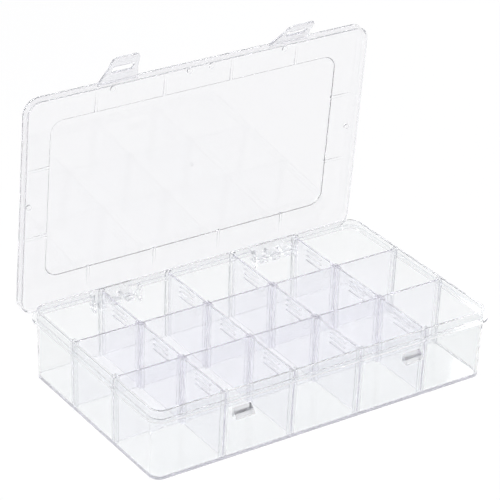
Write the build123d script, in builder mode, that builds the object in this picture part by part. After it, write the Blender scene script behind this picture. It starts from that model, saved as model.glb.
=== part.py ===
from build123d import *
import os
from math import cos, radians, sin, tan

# A clear moulded storage box: a shallow tray with slide-in dividers, a hinged lid and
# two snap latches. +Z is up, +X runs along the length and -Y is the latch side. The
# origin is the middle of the tray's underside. The lid stands open, as it is used.

# ---- Driving dimensions, in millimetres and degrees --------------------------------

# Tray, outside sizes at the floor
tray_length = 260.0
tray_width = 153.6
tray_height = 51.0
tray_corner_radius = 7.5
draft_angle = 1.23
wall_thickness = 1.6
floor_thickness = 1.6
foot_fillet = 0.5
floor_fillet = 1.2

# Flange round the tray, under the rim
flange_top = 45.7
flange_thickness = 1.8
flange_overhang = 2.7

# Compartments
rows = 3
columns = 5
row_wall_thickness = 1.4
divider_thickness = 1.4
divider_drop = 0.9            # top of a divider below the rim, clear of the lid's pads
divider_floor_gap = 0.3       # bottom of a divider above the floor
channel_rib_width = 1.3
channel_depth = 2.5
channel_clearance = 0.3       # each side of a divider in its channel
channel_end_gap = 0.4         # divider's end to the bottom of its channel

# Finger grips near the top edge of a cross divider
grip_ribs = 3
grip_rib_length = 17.0
grip_rib_pitch = 3.7
grip_rib_height = 0.9
grip_rib_relief = 0.45

# Lid
lid_thickness = 1.3
lid_skirt_thickness = 1.4
lid_skirt_clearance = 1.2     # skirt's inside to the rim's outside
lid_rim_gap = 0.3             # lid's underside above the rim, skirt above the flange
lid_edge_fillet = 1.1
panel_raise = 1.0
panel_border = 21.2           # lid's edge to the raised panel
panel_corner_radius = 10.0
panel_slope = 30.0            # lean of the panel's step from upright
gusset_width = 1.8
gusset_edge_gap = 6.2         # gusset's thin end to the lid's front or back edge
gusset_end_gap = 3.6          # and to its left or right edge
gate_radius = 1.2             # recess left where the plastic was let in
gate_depth = 0.4
pad_radius = 1.9
pad_depth = 1.0
pad_positions = (-67.5, -8.6, 8.6, 67.5)
open_angle = 85.56

# Clip hinges
hinge_spread = 65.0           # middle of a hinge from the box's middle
hinge_standoff = 3.4          # hinge axis behind the back wall
hinge_height = 37.8
hinge_pin_radius = 1.25
hinge_running_clearance = 0.1
hook_thickness = 1.2
hook_count = 3                # hooks of one arm
hook_width = 6.2
hook_arch_width = 4.3         # opening between two hooks
hook_mouth = 2.0              # gap that snaps over the pin
hinge_side_gap = 3.2          # bare pin between an ear and the nearest hook
ear_thickness = 2.0
ear_radius = 2.6
arm_thickness = 2.3
heel_clearance = 0.15         # heel to the back wall when the lid is fully open

# Latches
latch_spread = 66.8
latch_root_width = 30.0
latch_waist_width = 23.0
latch_tip_width = 20.0
latch_length = 24.0
latch_root_round = 0.6
latch_waist = 12.0            # root to the narrow stretch
latch_corner_radius = 4.0
latch_thickness = 1.4
latch_lip = 1.2               # lid's lip that carries the living hinge
latch_gap = 0.3
latch_window_width = 16.0
latch_window_start = 9.0
latch_window_length = 6.5
latch_window_radius = 1.5
left_latch_angle = 24.0       # forward of the lid's plane
right_latch_angle = 38.0
catch_width = 14.0
catch_clearance = 0.3
catch_height = 6.5
catch_engagement = 0.9        # catch's tip past the flap's inner face

# ---- Sizes that follow -------------------------------------------------------------

draft = tan(radians(draft_angle))
rim_length = tray_length + 2 * draft * tray_height
rim_width = tray_width + 2 * draft * tray_height
column_pitch = rim_length / columns
row_pitch = tray_width / rows
divider_height = tray_height - divider_drop - floor_thickness - divider_floor_gap
divider_bottom = floor_thickness + divider_floor_gap
slot_width = divider_thickness + 2 * channel_clearance
row_slot_width = row_wall_thickness + 2 * channel_clearance

crossings = [column_pitch * (i + 1 - columns / 2) for i in range(columns - 1)]
row_lines = [row_pitch * (i + 1 - rows / 2) for i in range(rows - 1)]

lid_overhang = lid_skirt_clearance + lid_skirt_thickness
lid_length = rim_length + 2 * lid_overhang
lid_width = rim_width + 2 * lid_overhang
lid_corner_radius = tray_corner_radius + draft * tray_height + lid_overhang
skirt_bottom = flange_top + lid_rim_gap
lid_underside = tray_height + lid_rim_gap
lid_top = lid_underside + lid_thickness
panel_top = lid_top + panel_raise
panel_length = lid_length - 2 * panel_border
panel_width = lid_width - 2 * panel_border

back_wall_y = tray_width / 2 + draft * hinge_height
hinge_y = back_wall_y + hinge_standoff
hook_bore_radius = hinge_pin_radius + hinge_running_clearance
hook_radius = hook_bore_radius + hook_thickness
heel_reach = hinge_standoff - heel_clearance
hook_pitch = hook_width + hook_arch_width
arm_width = hook_width + hook_pitch * (hook_count - 1)
ear_inside = arm_width / 2 + hinge_side_gap
hinge_places = (-hinge_spread, hinge_spread)

latch_places = (-latch_spread, latch_spread)
pivot_y = -(lid_width / 2 + latch_lip + latch_gap + latch_thickness / 2)
pivot_z = skirt_bottom + latch_thickness / 2
catch_bottom = pivot_z - latch_window_start - latch_window_length + catch_clearance
catch_tip_y = pivot_y + latch_thickness / 2 - catch_engagement


def half_length(z):
    """Tray's outside, from the middle to an end wall, at height z."""
    return tray_length / 2 + draft * z


def half_width(z):
    """Tray's outside, from the middle to the front or back wall, at height z."""
    return tray_width / 2 + draft * z


def swung(plane):
    """The closed box's plane, swung back with the lid about the hinge axis."""
    axis_place = Location((0, hinge_y, hinge_height))
    turn = Location((0, 0, 0), (-open_angle, 0, 0))
    return Plane(axis_place * turn * axis_place.inverse() * plane.location)


# ---- Tray --------------------------------------------------------------------------

with BuildPart() as tray:
    with BuildSketch(Plane.XY):
        RectangleRounded(tray_length, tray_width, tray_corner_radius)
    extrude(amount=tray_height, taper=-draft_angle)
    fillet(tray.faces().sort_by(Axis.Z)[0].edges(), foot_fillet)

    # Flange, notched between the hinge ears, where the lid's arms pass
    with BuildSketch(Plane.XY.offset(flange_top - flange_thickness)):
        RectangleRounded(
            2 * (half_length(flange_top) + flange_overhang),
            2 * (half_width(flange_top) + flange_overhang),
            tray_corner_radius + flange_overhang,
        )
        for x in hinge_places:
            with Locations((x, half_width(flange_top) + flange_overhang)):
                Rectangle(2 * ear_inside, 2 * flange_overhang, mode=Mode.SUBTRACT)
    extrude(amount=flange_thickness)

    # Inside
    with BuildSketch(Plane.XY.offset(floor_thickness)):
        RectangleRounded(
            2 * (half_length(floor_thickness) - wall_thickness),
            2 * (half_width(floor_thickness) - wall_thickness),
            tray_corner_radius - wall_thickness,
        )
    extrude(amount=tray_height, taper=-draft_angle, mode=Mode.SUBTRACT)
    floor = tray.faces().filter_by(Axis.Z).group_by(Axis.Z)[1]
    fillet(floor.edges(), floor_fillet)

    # Pairs of ribs on the front and back walls: channels for the cross dividers
    rib_low = half_width(floor_thickness) - wall_thickness
    rib_high = half_width(tray_height) - wall_thickness
    for x in crossings:
        for side in (-1, 1):
            rib_x = x + side * (slot_width + channel_rib_width) / 2
            with BuildSketch(Plane.YZ.offset(rib_x)):
                with BuildLine():
                    Polyline(
                        (rib_low + wall_thickness / 2, floor_thickness / 2),
                        (rib_high + wall_thickness / 2, tray_height),
                        (rib_high - channel_depth, tray_height),
                        (rib_low - channel_depth, floor_thickness / 2),
                        close=True,
                    )
                make_face()
                mirror(about=Plane.YZ)
            extrude(amount=channel_rib_width / 2, both=True)

    # Pairs of ribs on the end walls: channels for the row walls
    end_low = half_length(floor_thickness) - wall_thickness
    end_high = half_length(tray_height) - wall_thickness
    for y in row_lines:
        for side in (-1, 1):
            rib_y = y + side * (row_slot_width + channel_rib_width) / 2
            with BuildSketch(Plane.XZ.offset(-rib_y)):
                with BuildLine():
                    Polyline(
                        (end_low + wall_thickness / 2, floor_thickness / 2),
                        (end_high + wall_thickness / 2, tray_height),
                        (end_high - channel_depth, tray_height),
                        (end_low - channel_depth, floor_thickness / 2),
                        close=True,
                    )
                make_face()
                mirror(about=Plane.YZ)
            extrude(amount=channel_rib_width / 2, both=True)

    # Hinge ears that hang from the flange, with the pins moulded between them
    flange_edge = half_width(flange_top) + flange_overhang
    for x in hinge_places:
        for side in (-1, 1):
            ear_x = x + side * (ear_inside + ear_thickness / 2)
            with BuildSketch(Plane.YZ.offset(ear_x)):
                with Locations((hinge_y, hinge_height)):
                    Circle(ear_radius)
                with BuildLine():
                    Polyline(
                        (back_wall_y - wall_thickness / 2, hinge_height - 2 * ear_radius),
                        (hinge_y, hinge_height - ear_radius),
                        (hinge_y, hinge_height + ear_radius),
                        (flange_edge, flange_top - flange_thickness / 2),
                        (back_wall_y - wall_thickness / 2, flange_top - flange_thickness / 2),
                        close=True,
                    )
                make_face()
            extrude(amount=ear_thickness / 2, both=True)
        with BuildSketch(Plane.YZ.offset(x)):
            with Locations((hinge_y, hinge_height)):
                Circle(hinge_pin_radius)
        extrude(amount=ear_inside + ear_thickness / 2, both=True)

    # Catches on the front wall: wedges that the latch windows snap over
    for x in latch_places:
        with BuildSketch(Plane.YZ.offset(x)):
            with BuildLine():
                Polyline(
                    (-half_width(catch_bottom) + wall_thickness / 2, catch_bottom),
                    (catch_tip_y, catch_bottom),
                    (catch_tip_y, catch_bottom + catch_engagement),
                    (-half_width(catch_bottom), catch_bottom + catch_height),
                    (-half_width(catch_bottom) + wall_thickness / 2, catch_bottom + catch_height),
                    close=True,
                )
            make_face()
        extrude(amount=catch_width / 2, both=True)

# ---- Lid, built on planes swung open with it ---------------------------------------

with BuildPart() as lid:
    with BuildSketch(swung(Plane.XY.offset(skirt_bottom))):
        RectangleRounded(lid_length, lid_width, lid_corner_radius)
    extrude(amount=lid_top - skirt_bottom)
    lid_up = Axis((0, 0, 0), swung(Plane.XY).z_dir)
    fillet(lid.faces().sort_by(lid_up)[-1].edges(), lid_edge_fillet)

    # Raised centre panel
    with BuildSketch(swung(Plane.XY.offset(lid_top))):
        RectangleRounded(panel_length, panel_width, panel_corner_radius)
    extrude(amount=panel_raise, taper=panel_slope)

    # Gussets on the border, thin towards the lid's edge
    gusset_out = lid_width / 2 - gusset_edge_gap
    for x in crossings:
        with BuildSketch(swung(Plane.YZ.offset(x))):
            with BuildLine():
                Polyline(
                    (panel_width / 2 - panel_raise, lid_top - lid_thickness / 2),
                    (gusset_out, lid_top - lid_thickness / 2),
                    (gusset_out, lid_top),
                    (panel_width / 2 - panel_raise, panel_top),
                    close=True,
                )
            make_face()
            mirror(about=Plane.YZ)
        extrude(amount=gusset_width / 2, both=True)
    gusset_end = lid_length / 2 - gusset_end_gap
    for y in row_lines:
        with BuildSketch(swung(Plane.XZ.offset(-y))):
            with BuildLine():
                Polyline(
                    (panel_length / 2 - panel_raise, lid_top - lid_thickness / 2),
                    (gusset_end, lid_top - lid_thickness / 2),
                    (gusset_end, lid_top),
                    (panel_length / 2 - panel_raise, panel_top),
                    close=True,
                )
            make_face()
            mirror(about=Plane.YZ)
        extrude(amount=gusset_width / 2, both=True)

    # Gate mark in the panel's middle
    with BuildSketch(swung(Plane.XY.offset(panel_top))):
        Circle(gate_radius)
    extrude(amount=-gate_depth, mode=Mode.SUBTRACT)

    # Inside: skirt and the hollow under the panel
    with BuildSketch(swung(Plane.XY.offset(skirt_bottom))):
        RectangleRounded(
            lid_length - 2 * lid_skirt_thickness,
            lid_width - 2 * lid_skirt_thickness,
            lid_corner_radius - lid_skirt_thickness,
        )
    extrude(amount=lid_underside - skirt_bottom, mode=Mode.SUBTRACT)
    with BuildSketch(swung(Plane.XY.offset(lid_underside))):
        RectangleRounded(panel_length - panel_raise, panel_width - panel_raise, panel_corner_radius)
    extrude(amount=panel_raise, taper=panel_slope, mode=Mode.SUBTRACT)

    # Ejector pads, just inside the rim
    pad_inset = rim_width / 2 - wall_thickness - pad_radius - lid_rim_gap
    end_pad_inset = rim_length / 2 - wall_thickness - pad_radius - lid_rim_gap
    with BuildSketch(swung(Plane.XY.offset(lid_underside - pad_depth))):
        for x in pad_positions:
            with Locations((x, -pad_inset)):
                Circle(pad_radius)
        with Locations((-end_pad_inset, 0), (end_pad_inset, 0)):
            Circle(pad_radius)
    extrude(amount=pad_depth + lid_thickness / 2)

    # Lips that carry the living hinges of the latches
    with BuildSketch(swung(Plane.XY.offset(skirt_bottom))):
        for x in latch_places:
            with Locations((x, -lid_width / 2 - latch_lip / 2 + lid_skirt_thickness / 4)):
                Rectangle(latch_root_width, latch_lip + lid_skirt_thickness / 2)
    extrude(amount=latch_thickness)

    # Clip-hinge arms: a plate down the back of the skirt that curls round the pin
    skirt_middle = lid_width / 2 - lid_skirt_thickness / 2
    skirt_inside = lid_width / 2 - lid_skirt_thickness
    arm_outside = lid_width / 2 + arm_thickness
    for x in hinge_places:
        with BuildSketch(swung(Plane.YZ.offset(x))):
            with Locations((hinge_y, hinge_height)):
                Circle(hook_radius)
            with BuildLine():
                Polyline(
                    (hinge_y, hinge_height - heel_reach),
                    (hinge_y + hook_radius, hinge_height - heel_reach),
                    (hinge_y + hook_radius, hinge_height),
                    (arm_outside, skirt_bottom),
                    (arm_outside, lid_underside - arm_thickness),
                    (lid_width / 2, lid_underside),
                    (skirt_middle, lid_underside),
                    (skirt_middle, skirt_bottom),
                    (skirt_inside, skirt_bottom),
                    (hinge_y - hook_radius, hinge_height),
                    (hinge_y, hinge_height),
                    close=True,
                )
            make_face()
            with Locations((hinge_y, hinge_height)):
                Circle(hook_bore_radius, mode=Mode.SUBTRACT)
            with Locations((hinge_y, hinge_height - hook_radius)):
                Rectangle(hook_mouth, 2 * hook_radius, mode=Mode.SUBTRACT)
        extrude(amount=arm_width / 2, both=True)
        # Arches that part it into hooks
        with BuildSketch(swung(Plane.XZ.offset(-hinge_y - 2 * hook_radius))):
            with Locations((x, skirt_bottom - hook_arch_width / 2)):
                with GridLocations(hook_pitch, 0, hook_count - 1, 1):
                    Circle(hook_arch_width / 2)
                    arch_drop = skirt_bottom - hinge_height + hook_radius
                    Rectangle(hook_arch_width, arch_drop, align=(Align.CENTER, Align.MAX))
        extrude(amount=4 * hook_radius, mode=Mode.SUBTRACT)


# ---- Latches -----------------------------------------------------------------------


def make_latch(x, angle):
    """Latch flap at x, leaning forward of the lid's plane on its living hinge."""
    fold = radians(angle)
    flap_plane = Plane(origin=(x, pivot_y, pivot_z), x_dir=(1, 0, 0), z_dir=(0, sin(fold), -cos(fold)))
    root = -latch_thickness / 2
    with BuildPart() as latch:
        with BuildSketch(swung(flap_plane)) as flap:
            with BuildLine():
                Polyline(
                    (-latch_root_width / 2, root),
                    (-latch_waist_width / 2, latch_waist),
                    (-latch_tip_width / 2, latch_length),
                    (latch_tip_width / 2, latch_length),
                    (latch_waist_width / 2, latch_waist),
                    (latch_root_width / 2, root),
                    close=True,
                )
            make_face()
            fillet(flap.vertices().group_by(Axis.Y)[-1], latch_corner_radius)
            fillet(flap.vertices().filter_by_position(Axis.Y, latch_waist, latch_waist), latch_waist)
            with Locations((0, latch_window_start + latch_window_length / 2)):
                RectangleRounded(
                    latch_window_width, latch_window_length, latch_window_radius, mode=Mode.SUBTRACT
                )
        extrude(amount=latch_thickness / 2, both=True)
        root_line = Axis((x, 0, 0), swung(flap_plane).y_dir)
        root_face = latch.faces().sort_by(root_line)[0]
        fillet(root_face.edges().filter_by(Axis.X), latch_root_round)
    return latch


latch_left = make_latch(-latch_spread, left_latch_angle)
latch_right = make_latch(latch_spread, right_latch_angle)

# ---- Row walls ---------------------------------------------------------------------


def make_row_wall(y):
    """Long divider between two rows, with channels on both faces for the cross dividers."""
    low_end = half_length(divider_bottom) - wall_thickness - channel_end_gap
    high_end = half_length(divider_bottom + divider_height) - wall_thickness - channel_end_gap
    with BuildPart() as row_wall:
        with BuildSketch(Plane.XZ.offset(-y)) as wall_face:
            with BuildLine():
                Polyline(
                    (-low_end, divider_bottom),
                    (low_end, divider_bottom),
                    (high_end, divider_bottom + divider_height),
                    (-high_end, divider_bottom + divider_height),
                    close=True,
                )
            make_face()
            chamfer(wall_face.vertices().group_by(Axis.Y)[0], length=floor_fillet)
        extrude(amount=row_wall_thickness / 2, both=True)
        with BuildSketch(Plane.XY.offset(divider_bottom)):
            for x in crossings:
                for side in (-1, 1):
                    with Locations((x + side * (slot_width + channel_rib_width) / 2, y)):
                        Rectangle(channel_rib_width, row_wall_thickness + 2 * channel_depth)
        extrude(amount=divider_height)
    return row_wall


row_walls = [make_row_wall(y) for y in row_lines]

# ---- Cross dividers ----------------------------------------------------------------


def make_divider(x, row):
    """Short divider at x in one row, from 0 at the front, with grips near its top edge."""
    top = divider_bottom + divider_height
    wall_low = half_width(divider_bottom) - wall_thickness - channel_end_gap
    wall_high = half_width(top) - wall_thickness - channel_end_gap
    beside_row_wall = row_wall_thickness / 2 + channel_end_gap
    if row == 0:
        front_low, front_high = -wall_low, -wall_high
    else:
        front_low = front_high = row_lines[row - 1] + beside_row_wall
    if row == rows - 1:
        back_low, back_high = wall_low, wall_high
    else:
        back_low = back_high = row_lines[row] - beside_row_wall
    middle = row_pitch * (row + 0.5 - rows / 2)
    with BuildPart() as divider:
        with BuildSketch(Plane.YZ.offset(x)) as divider_face:
            with BuildLine():
                Polyline(
                    (front_low, divider_bottom),
                    (back_low, divider_bottom),
                    (back_high, top),
                    (front_high, top),
                    close=True,
                )
            make_face()
            chamfer(divider_face.vertices().group_by(Axis.Y)[0], length=floor_fillet)
        extrude(amount=divider_thickness / 2, both=True)
        with BuildSketch(Plane.YZ.offset(x)):
            with Locations((middle, top - grip_rib_pitch * (grip_ribs + 1) / 2)):
                with GridLocations(0, grip_rib_pitch, 1, grip_ribs):
                    Rectangle(grip_rib_length, grip_rib_height)
        extrude(amount=divider_thickness / 2 + grip_rib_relief, both=True)
    return divider


# ---- Names and files ---------------------------------------------------------------

pieces = {
    "tray": tray,
    "lid": lid,
    "latch_left": latch_left,
    "latch_right": latch_right,
    "row_wall_front": row_walls[0],
    "row_wall_back": row_walls[-1],
}
row_names = ("front", "middle", "back")
for row, row_name in enumerate(row_names):
    for number, x in enumerate(crossings, start=1):
        pieces[f"divider_{row_name}_{number}"] = make_divider(x, row)

os.makedirs("parts", exist_ok=True)
for name, piece in pieces.items():
    piece.part.label = name
    export_step(piece.part, f"parts/{name}.step")
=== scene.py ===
import bpy
import bmesh
import math
from mathutils import Matrix, Vector


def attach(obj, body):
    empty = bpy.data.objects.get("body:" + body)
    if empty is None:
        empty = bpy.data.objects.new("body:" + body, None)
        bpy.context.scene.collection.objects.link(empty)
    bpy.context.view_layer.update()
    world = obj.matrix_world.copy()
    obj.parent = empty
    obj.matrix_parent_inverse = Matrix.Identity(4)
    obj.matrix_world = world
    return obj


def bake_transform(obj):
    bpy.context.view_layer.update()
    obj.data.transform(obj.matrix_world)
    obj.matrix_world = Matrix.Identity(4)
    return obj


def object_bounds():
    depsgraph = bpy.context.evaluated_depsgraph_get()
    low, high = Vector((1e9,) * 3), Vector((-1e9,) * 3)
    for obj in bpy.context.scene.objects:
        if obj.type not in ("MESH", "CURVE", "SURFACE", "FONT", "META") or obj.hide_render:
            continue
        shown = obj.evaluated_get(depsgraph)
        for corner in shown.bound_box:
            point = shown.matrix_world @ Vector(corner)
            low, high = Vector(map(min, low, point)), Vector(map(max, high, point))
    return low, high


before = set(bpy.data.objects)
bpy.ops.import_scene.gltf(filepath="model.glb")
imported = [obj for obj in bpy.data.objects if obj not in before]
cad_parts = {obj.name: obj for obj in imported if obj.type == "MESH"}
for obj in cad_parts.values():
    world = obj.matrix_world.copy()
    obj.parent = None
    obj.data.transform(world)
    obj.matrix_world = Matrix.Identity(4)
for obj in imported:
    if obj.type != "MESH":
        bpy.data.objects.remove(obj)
cad_low, cad_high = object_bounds()
scene = bpy.context.scene
scene.view_settings.view_transform = "Standard"
MM = 0.001

# ---- Camera ------------------------------------------------------------------------
# A long lens from the front left, looking down on the open box. Its place and turn
# were fitted to the box's edges, with the tray's underside as the zero height.

camera_data = bpy.data.cameras.new("long_lens")
camera_data.sensor_width = 36.0
camera_data.lens = 177.8
camera = bpy.data.objects.new("camera", camera_data)
turn_left, look_down, tilt = math.radians(-34.632), math.radians(27.787), math.radians(2.175)
aim = (
    Matrix.Rotation(turn_left, 4, "Z")
    @ Matrix.Rotation(math.pi / 2 - look_down, 4, "X")
    @ Matrix.Rotation(tilt, 4, "Z")
)
camera_place = (-0.82277, -1.17470, 0.85029)
camera.matrix_world = Matrix.Translation(camera_place) @ aim
camera_data.clip_start, camera_data.clip_end = 0.05, 20.0
scene.collection.objects.link(camera)
scene.camera = camera

# ---- White table and studio --------------------------------------------------------
# A sheet of white card under the box, in a white room. What is seen of both, straight on
# or through the plastic, is as bright as the paper itself, and a part of the card's own
# shading stays, so that the box keeps its soft shadow on it.


def linear(hex_colour, alpha=1.0):
    """An sRGB hex colour as the linear red, green, blue and alpha that shaders take."""
    channels = [int(hex_colour[i:i + 2], 16) / 255 for i in (1, 3, 5)]
    lit = [c / 12.92 if c <= 0.04045 else ((c + 0.055) / 1.055) ** 2.4 for c in channels]
    return lit + [alpha]


def add(tree, kind, settings=None, **links):
    """Adds a node to a tree, with links and values for its inputs.

    An input goes by its name, with _ for a space, or by its number, as i0, i1 and so on.
    """
    node = tree.nodes.new(kind)
    for key, value in (settings or {}).items():
        setattr(node, key, value)
    for key, value in links.items():
        numbered = key[0] == "i" and key[1:].isdigit()
        socket = node.inputs[int(key[1:])] if numbered else node.inputs[key.replace("_", " ")]
        if isinstance(value, bpy.types.NodeSocket):
            tree.links.new(value, socket)
        else:
            socket.default_value = value
    return node


def new_material(name):
    """An empty material and its node tree."""
    material = bpy.data.materials.new(name)
    material.use_nodes = True
    material.node_tree.nodes.clear()
    return material, material.node_tree


def seen_directly(tree):
    """1 for rays from the camera and those that reach it by glass or gloss, 0 for light."""
    path = add(tree, "ShaderNodeLightPath")
    seen = add(tree, "ShaderNodeMath", {"operation": "MAXIMUM"},
               i0=path.outputs["Is Camera Ray"], i1=path.outputs["Is Transmission Ray"])
    return add(tree, "ShaderNodeMath", {"operation": "MAXIMUM"},
               i0=seen.outputs[0], i1=path.outputs["Is Glossy Ray"]).outputs[0]


card_size = 6.0
card_gap = 0.2 * MM
card_shading_kept = 0.2
card_mesh = bpy.data.meshes.new("white_card")
half = card_size / 2
card_corners = [(-half, -half, 0), (half, -half, 0), (half, half, 0), (-half, half, 0)]
card_mesh.from_pydata(card_corners, [], [(0, 1, 2, 3)])
card = bpy.data.objects.new("white_card", card_mesh)
card.location.z = cad_low.z - card_gap
scene.collection.objects.link(card)
card_material, card_tree = new_material("matt_white_card")
card_paper = add(card_tree, "ShaderNodeBsdfDiffuse", Color=linear("#FFFFFF"))
card_seen = add(card_tree, "ShaderNodeEmission", Color=linear("#FFFFFF"), Strength=1.0)
card_share = add(card_tree, "ShaderNodeMath", {"operation": "MULTIPLY"},
                 i0=seen_directly(card_tree), i1=1 - card_shading_kept)
card_surface = add(card_tree, "ShaderNodeMixShader", i0=card_share.outputs[0],
                   i1=card_paper.outputs[0], i2=card_seen.outputs[0])
add(card_tree, "ShaderNodeOutputMaterial", Surface=card_surface.outputs[0])
card_mesh.materials.append(card_material)

studio = bpy.data.worlds.new("studio")
studio.use_nodes = True
studio.node_tree.nodes.clear()
room = studio.node_tree
direction = add(room, "ShaderNodeTexCoord")
height = add(room, "ShaderNodeSeparateXYZ", Vector=direction.outputs["Generated"])
# From 17 to 53 degrees up, the white walls turn to a pale grey ceiling
ceiling = add(room, "ShaderNodeMapRange", {"interpolation_type": "SMOOTHSTEP"},
              Value=height.outputs["Z"], From_Min=0.30, From_Max=0.80)
room_colour = add(room, "ShaderNodeMix", {"data_type": "RGBA"},
                  Factor=ceiling.outputs["Result"], i6=linear("#FFFFFF"), i7=linear("#DCDCE0"))
room_seen = add(room, "ShaderNodeBackground", Color=room_colour.outputs[2], Strength=1.0)
room_light = add(room, "ShaderNodeBackground", Color=linear("#FBFBFF"), Strength=0.64)
room_both = add(room, "ShaderNodeMixShader", i0=seen_directly(room),
                i1=room_light.outputs[0], i2=room_seen.outputs[0])
add(room, "ShaderNodeOutputWorld", Surface=room_both.outputs[0])
scene.world = studio

# ---- Studio lamps ------------------------------------------------------------------
# Two large soft boxes: one high at the left, a weaker one at the right and behind.

box_middle = Vector((0, 0, 0.08))


def soft_box(name, place, size, power):
    """A square lamp that faces the box's middle."""
    lamp_data = bpy.data.lights.new(name, "AREA")
    lamp_data.shape = "SQUARE"
    lamp_data.size = size
    lamp_data.energy = power
    lamp = bpy.data.objects.new(name, lamp_data)
    lamp.location = place
    lamp.rotation_mode = "QUATERNION"
    lamp.rotation_quaternion = (box_middle - Vector(place)).to_track_quat("-Z", "Y")
    scene.collection.objects.link(lamp)


soft_box("key_soft_box", (-0.9, -0.6, 1.3), 0.9, 12.5)
soft_box("fill_soft_box", (1.2, 0.7, 1.1), 0.8, 6.2)

# ---- Tray --------------------------------------------------------------------------
# The box's body, one moulding of natural polypropylene from a polished mould. The plastic
# is clear in a thin wall; where it is looked at edge on, a painted glow of milky lavender
# stands in for the light it scatters.


def smooth_moulding():
    """A tree that joins a moulding's faces and shades its rounded edges smooth."""
    tree = bpy.data.node_groups.new("smooth_moulding", "GeometryNodeTree")
    tree.interface.new_socket("Geometry", in_out="INPUT", socket_type="NodeSocketGeometry")
    crease = tree.interface.new_socket("Crease Angle", in_out="INPUT",
                                       socket_type="NodeSocketFloat")
    crease.default_value = math.radians(32)
    tree.interface.new_socket("Geometry", in_out="OUTPUT", socket_type="NodeSocketGeometry")
    given = add(tree, "NodeGroupInput")
    merged = add(tree, "GeometryNodeMergeByDistance", Geometry=given.outputs["Geometry"],
                 Distance=0.005 * MM)
    edge = add(tree, "GeometryNodeInputMeshEdgeAngle")
    rounded = add(tree, "FunctionNodeCompare",
                  {"data_type": "FLOAT", "operation": "LESS_THAN"},
                  i0=edge.outputs["Unsigned Angle"], i1=given.outputs["Crease Angle"])
    creased = add(tree, "GeometryNodeSetShadeSmooth", {"domain": "EDGE"},
                  Geometry=merged.outputs[0], Shade_Smooth=rounded.outputs[0])
    shaded = add(tree, "GeometryNodeSetShadeSmooth", {"domain": "FACE"},
                 Geometry=creased.outputs[0], Shade_Smooth=True)
    add(tree, "NodeGroupOutput", Geometry=shaded.outputs[0])
    return tree


moulding_tree = smooth_moulding()
mould_edge = 0.12 * MM


def finish_moulding(piece, material):
    """Gives a moulding its plastic, and the tiny round that every moulded edge has."""
    piece.data.materials.clear()
    piece.data.materials.append(material)
    shading = piece.modifiers.new("smooth_moulding", "NODES")
    shading.node_group = moulding_tree
    edges = piece.modifiers.new("mould_edge", "BEVEL")
    edges.width, edges.segments = mould_edge, 2
    edges.limit_method, edges.angle_limit = "ANGLE", math.radians(35)
    edges.use_clamp_overlap = True
    normals = piece.modifiers.new("flat_walls", "WEIGHTED_NORMAL")
    normals.keep_sharp = True


wave_length = 14 * MM
patch_size = 5 * MM
most_reflections = 30


def clear_polypropylene(name, tint, haze, roughness, painted_milk_colour, milkiness_and_glow):
    """Natural polypropylene from a polished mould: clear, a little milky, soft shine.

    Haze is the share of light that stays at the surface. Fine crystals scatter the rest along
    its way, and that scatter is painted light: the inside absorbs and glows in the colour
    milk, standing in for light from the room, and milkiness, per metre, is how soon it turns
    to that painted glow, which therefore shows only where the plastic is seen edge on.
    """
    material, tree = new_material(name)
    place = add(tree, "ShaderNodeTexCoord")
    # The melt cools in broad shallow waves, wave_length from crest to crest
    waves = add(tree, "ShaderNodeTexNoise", Vector=place.outputs["Object"],
                Scale=1 / wave_length, Detail=1.0)
    relief = add(tree, "ShaderNodeBump", Strength=0.06, Distance=0.2 * MM,
                 Height=waves.outputs["Fac"])
    # The mould's polish is uneven in patches, which clouds the shine a little
    patches = add(tree, "ShaderNodeTexNoise", Vector=place.outputs["Object"],
                  Scale=1 / patch_size, Detail=2.0)
    polish = add(tree, "ShaderNodeMapRange", Value=patches.outputs["Fac"],
                 From_Min=0.3, From_Max=0.7, To_Min=roughness * 0.7, To_Max=roughness * 1.3)
    plastic = add(tree, "ShaderNodeBsdfPrincipled", Base_Color=linear(tint), IOR=1.49,
                  Roughness=polish.outputs["Result"], Normal=relief.outputs["Normal"])
    plastic.inputs["Transmission Weight"].default_value = 1 - haze
    pane = add(tree, "ShaderNodeBsdfTransparent", Color=linear("#FCFCFD"))
    path = add(tree, "ShaderNodeLightPath")
    surface = add(tree, "ShaderNodeMixShader", i0=path.outputs["Is Shadow Ray"],
                  i1=plastic.outputs[0], i2=pane.outputs[0])
    # Light that is still caught between the faces after this many reflections is replaced by
    # painted light: a glow in the colour milk, standing in for what the plastic scatters
    caught = add(tree, "ShaderNodeMath", {"operation": "GREATER_THAN"},
                 i0=path.outputs["Ray Depth"], i1=most_reflections)
    glow = add(tree, "ShaderNodeEmission", Color=linear(painted_milk_colour), Strength=1.0)
    ended = add(tree, "ShaderNodeMixShader", i0=caught.outputs[0],
                i1=surface.outputs[0], i2=glow.outputs[0])
    material.cycles.emission_sampling = "NONE"
    lost = add(tree, "ShaderNodeVolumeAbsorption", Color=linear("#000000"),
               Density=milkiness_and_glow)
    # Painted light: the volume glows in the colour milk, at a strength of milkiness, as a
    # stand-in for light that the crystals scatter from the room
    painted_scatter_glow = add(tree, "ShaderNodeEmission", Color=linear(painted_milk_colour), Strength=milkiness_and_glow)
    inside = add(tree, "ShaderNodeAddShader", i0=lost.outputs[0], i1=painted_scatter_glow.outputs[0])
    add(tree, "ShaderNodeOutputMaterial", Surface=ended.outputs[0],
        Volume=inside.outputs[0])
    return material


# The colour given as milk is painted light: a glow that stands in for light scattering inside
# the plastic
tray_plastic = clear_polypropylene(
    "clear_polypropylene_tray", tint="#F8F9F9", haze=0.03, roughness=0.04,
    painted_milk_colour="#ADACB9", milkiness_and_glow=11.0,
)
finish_moulding(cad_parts["tray"], tray_plastic)

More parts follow.
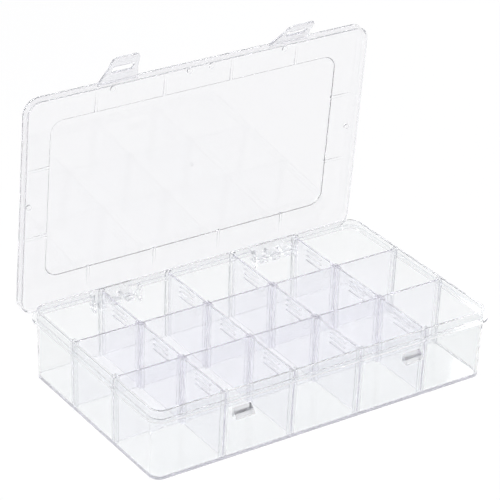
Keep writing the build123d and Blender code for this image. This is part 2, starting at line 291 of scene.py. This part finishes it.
scene.cycles.transparent_max_bounces = 64
scene.cycles.transmission_bounces = most_reflections + 2
scene.cycles.glossy_bounces = most_reflections + 2
scene.cycles.max_bounces = most_reflections + 2

# ---- Row walls ---------------------------------------------------------------------
# Two long dividers, moulded of the same plastic and dropped into the channels of the end
# walls. Round marks near their top show where the mould's pins pushed them out.

# The colour given as milk is painted light: a glow that stands in for light scattering inside
# the plastic
row_plastic = clear_polypropylene(
    "clear_polypropylene_row_wall", tint="#FBFBFD", haze=0.04, roughness=0.05,
    painted_milk_colour="#C4C0D4", milkiness_and_glow=14.0,
)
row_wall_thickness = 1.4 * MM
row_wall_lines = {"row_wall_front": -25.6 * MM, "row_wall_back": 25.6 * MM}
crossing_count, crossing_pitch = 4, 52.438 * MM
mark_aside, mark_height = 8.0 * MM, 45.7 * MM


def pin_marks():
    """A tree that sets raised rings in a row along X, standing on a wall that faces -Y."""
    tree = bpy.data.node_groups.new("pin_marks", "GeometryNodeTree")
    tree.interface.new_socket("Geometry", in_out="INPUT", socket_type="NodeSocketGeometry")
    sizes = {"Mark Radius": 2.4 * MM, "Line Radius": 0.16 * MM, "Pitch": crossing_pitch}
    for name, size in sizes.items():
        socket = tree.interface.new_socket(name, in_out="INPUT", socket_type="NodeSocketFloat")
        socket.default_value = size
    count = tree.interface.new_socket("Count", in_out="INPUT", socket_type="NodeSocketInt")
    count.default_value = crossing_count
    first = tree.interface.new_socket("First Mark", in_out="INPUT",
                                      socket_type="NodeSocketVector")
    first.default_value = (0.0, 0.0, 0.0)
    tree.interface.new_socket("Plastic", in_out="INPUT", socket_type="NodeSocketMaterial")
    tree.interface.new_socket("Geometry", in_out="OUTPUT", socket_type="NodeSocketGeometry")
    given = add(tree, "NodeGroupInput")
    step = add(tree, "ShaderNodeCombineXYZ", X=given.outputs["Pitch"])
    places = add(tree, "GeometryNodeMeshLine", Count=given.outputs["Count"],
                 Start_Location=given.outputs["First Mark"], Offset=step.outputs[0])
    circle = add(tree, "GeometryNodeCurvePrimitiveCircle", Resolution=32,
                 Radius=given.outputs["Mark Radius"])
    line = add(tree, "GeometryNodeCurvePrimitiveCircle", Resolution=8,
               Radius=given.outputs["Line Radius"])
    ring = add(tree, "GeometryNodeCurveToMesh", Curve=circle.outputs[0],
               Profile_Curve=line.outputs[0])
    marks = add(tree, "GeometryNodeInstanceOnPoints", Points=places.outputs[0],
                Instance=ring.outputs[0], Rotation=(math.pi / 2, 0.0, 0.0))
    real = add(tree, "GeometryNodeRealizeInstances", Geometry=marks.outputs[0])
    smooth = add(tree, "GeometryNodeSetShadeSmooth", {"domain": "FACE"},
                 Geometry=real.outputs[0], Shade_Smooth=True)
    dressed = add(tree, "GeometryNodeSetMaterial", Geometry=smooth.outputs[0],
                  Material=given.outputs["Plastic"])
    add(tree, "NodeGroupOutput", Geometry=dressed.outputs[0])
    return tree


def made_by(tree, name, **settings):
    """Runs a tree once and keeps what it makes as a plain mesh in an object of its own."""
    maker = bpy.data.objects.new(name + "_maker", bpy.data.meshes.new(name + "_maker"))
    scene.collection.objects.link(maker)
    modifier = maker.modifiers.new(name, "NODES")
    modifier.node_group = tree
    for item in tree.interface.items_tree:
        setting = item.name.replace(" ", "_")
        if item.in_out == "INPUT" and setting in settings:
            modifier[item.identifier] = settings[setting]
    seen = maker.evaluated_get(bpy.context.evaluated_depsgraph_get())
    mesh = bpy.data.meshes.new_from_object(seen)
    bpy.data.objects.remove(maker)
    mesh.name = name
    piece = bpy.data.objects.new(name, mesh)
    scene.collection.objects.link(piece)
    return piece


pin_mark_tree = pin_marks()
first_mark_x = -(crossing_count - 1) / 2 * crossing_pitch - mark_aside
for node_name, line_y in row_wall_lines.items():
    finish_moulding(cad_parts[node_name], row_plastic)
    first_mark = (first_mark_x, line_y - row_wall_thickness / 2, mark_height)
    marks = made_by(pin_mark_tree, node_name + "_pin_marks",
                    First_Mark=first_mark, Plastic=row_plastic)
    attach(marks, node_name)

# ---- Cross dividers ----------------------------------------------------------------
# Twelve short dividers in three rows of four, of the same plastic, each in its own pair
# of channels. The three ribs near the top edge give the fingers a hold.

# The colour given as milk is painted light: a glow that stands in for light scattering inside
# the plastic
divider_plastic = clear_polypropylene(
    "clear_polypropylene_divider", tint="#FBFBFD", haze=0.04, roughness=0.06,
    painted_milk_colour="#C4C0D4", milkiness_and_glow=14.0,
)
for node_name, node_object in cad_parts.items():
    if node_name.startswith("divider_"):
        finish_moulding(node_object, divider_plastic)

# ---- Lid ---------------------------------------------------------------------------
# One moulding with a raised panel, a skirt that fits over the tray's rim and clips that
# turn on the tray's pins. It stands open, a little short of upright.

# The colour given as milk is painted light: a glow that stands in for light scattering inside
# the plastic
lid_plastic = clear_polypropylene(
    "clear_polypropylene_lid", tint="#F8F8F9", haze=0.03, roughness=0.04,
    painted_milk_colour="#AEAFB6", milkiness_and_glow=13.0,
)
finish_moulding(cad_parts["lid"], lid_plastic)

# ---- Latches -----------------------------------------------------------------------
# Two flaps with a window each, moulded in one piece with the lid. The web between the
# lid's lip and the flap is so thin that it bends: a living hinge.

# The colour given as milk is painted light: a glow that stands in for light scattering inside
# the plastic
latch_plastic = clear_polypropylene(
    "clear_polypropylene_latch", tint="#F5F5F7", haze=0.11, roughness=0.08,
    painted_milk_colour="#BEBFC6", milkiness_and_glow=20.0,
)
lid_open = math.radians(85.56)
# Place along X in millimetres, and lean from the lid's plane in degrees
latch_turns = {"latch_left": (-66.8, 24.0), "latch_right": (66.8, 38.0)}
latch_axis_y, latch_axis_z = 77.212, 201.704
web_width, web_thickness, web_hold = 29.0, 0.34, 0.55
# How far the lid's lip, the start of the bend and the flap's edge are from the axis
lip_distance, bend_distance, flap_distance = 1.0, 0.66, 0.1


def living_hinge(name, x, angle):
    """The thin web at x, from inside the lid's lip round the axis to inside the flap."""
    fold = math.radians(angle)
    lid_way = Vector((0, -math.cos(lid_open), math.sin(lid_open)))
    flap_way = Vector((0, -math.cos(lid_open + fold), math.sin(lid_open + fold)))
    axis = Vector((0, latch_axis_y, latch_axis_z))
    line = [
        axis - lid_way * (lip_distance + web_hold), axis - lid_way * lip_distance,
        axis - lid_way * bend_distance, axis, axis + flap_way * web_hold,
    ]
    mesh = bmesh.new()
    rings = []
    for i, point in enumerate(line):
        way = (line[min(i + 1, len(line) - 1)] - line[max(i - 1, 0)]).normalized()
        across = Vector((0, -way.z, way.y)) * web_thickness / 2
        corners = [Vector((x + side * web_width / 2, 0, 0)) + point + across * face
                   for side, face in ((-1, -1), (1, -1), (1, 1), (-1, 1))]
        rings.append([mesh.verts.new(corner * MM) for corner in corners])
    for near, far in zip(rings, rings[1:]):
        for i in range(4):
            mesh.faces.new((near[i], near[(i + 1) % 4], far[(i + 1) % 4], far[i]))
    mesh.faces.new(reversed(rings[0]))
    mesh.faces.new(rings[-1])
    bmesh.ops.recalc_face_normals(mesh, faces=mesh.faces)
    web_mesh = bpy.data.meshes.new(name)
    mesh.to_mesh(web_mesh)
    mesh.free()
    web_mesh.materials.append(latch_plastic)
    web = bpy.data.objects.new(name, web_mesh)
    scene.collection.objects.link(web)
    start = (axis - lid_way * lip_distance) * MM
    end = (axis + flap_way * flap_distance) * MM
    return web, (x * MM, start.y, start.z), (x * MM, end.y, end.z)


for node_name, (latch_x, latch_angle) in latch_turns.items():
    finish_moulding(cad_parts[node_name], latch_plastic)
    web, lip_end, flap_start = living_hinge(node_name + "_living_hinge", latch_x, latch_angle)
    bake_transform(web)
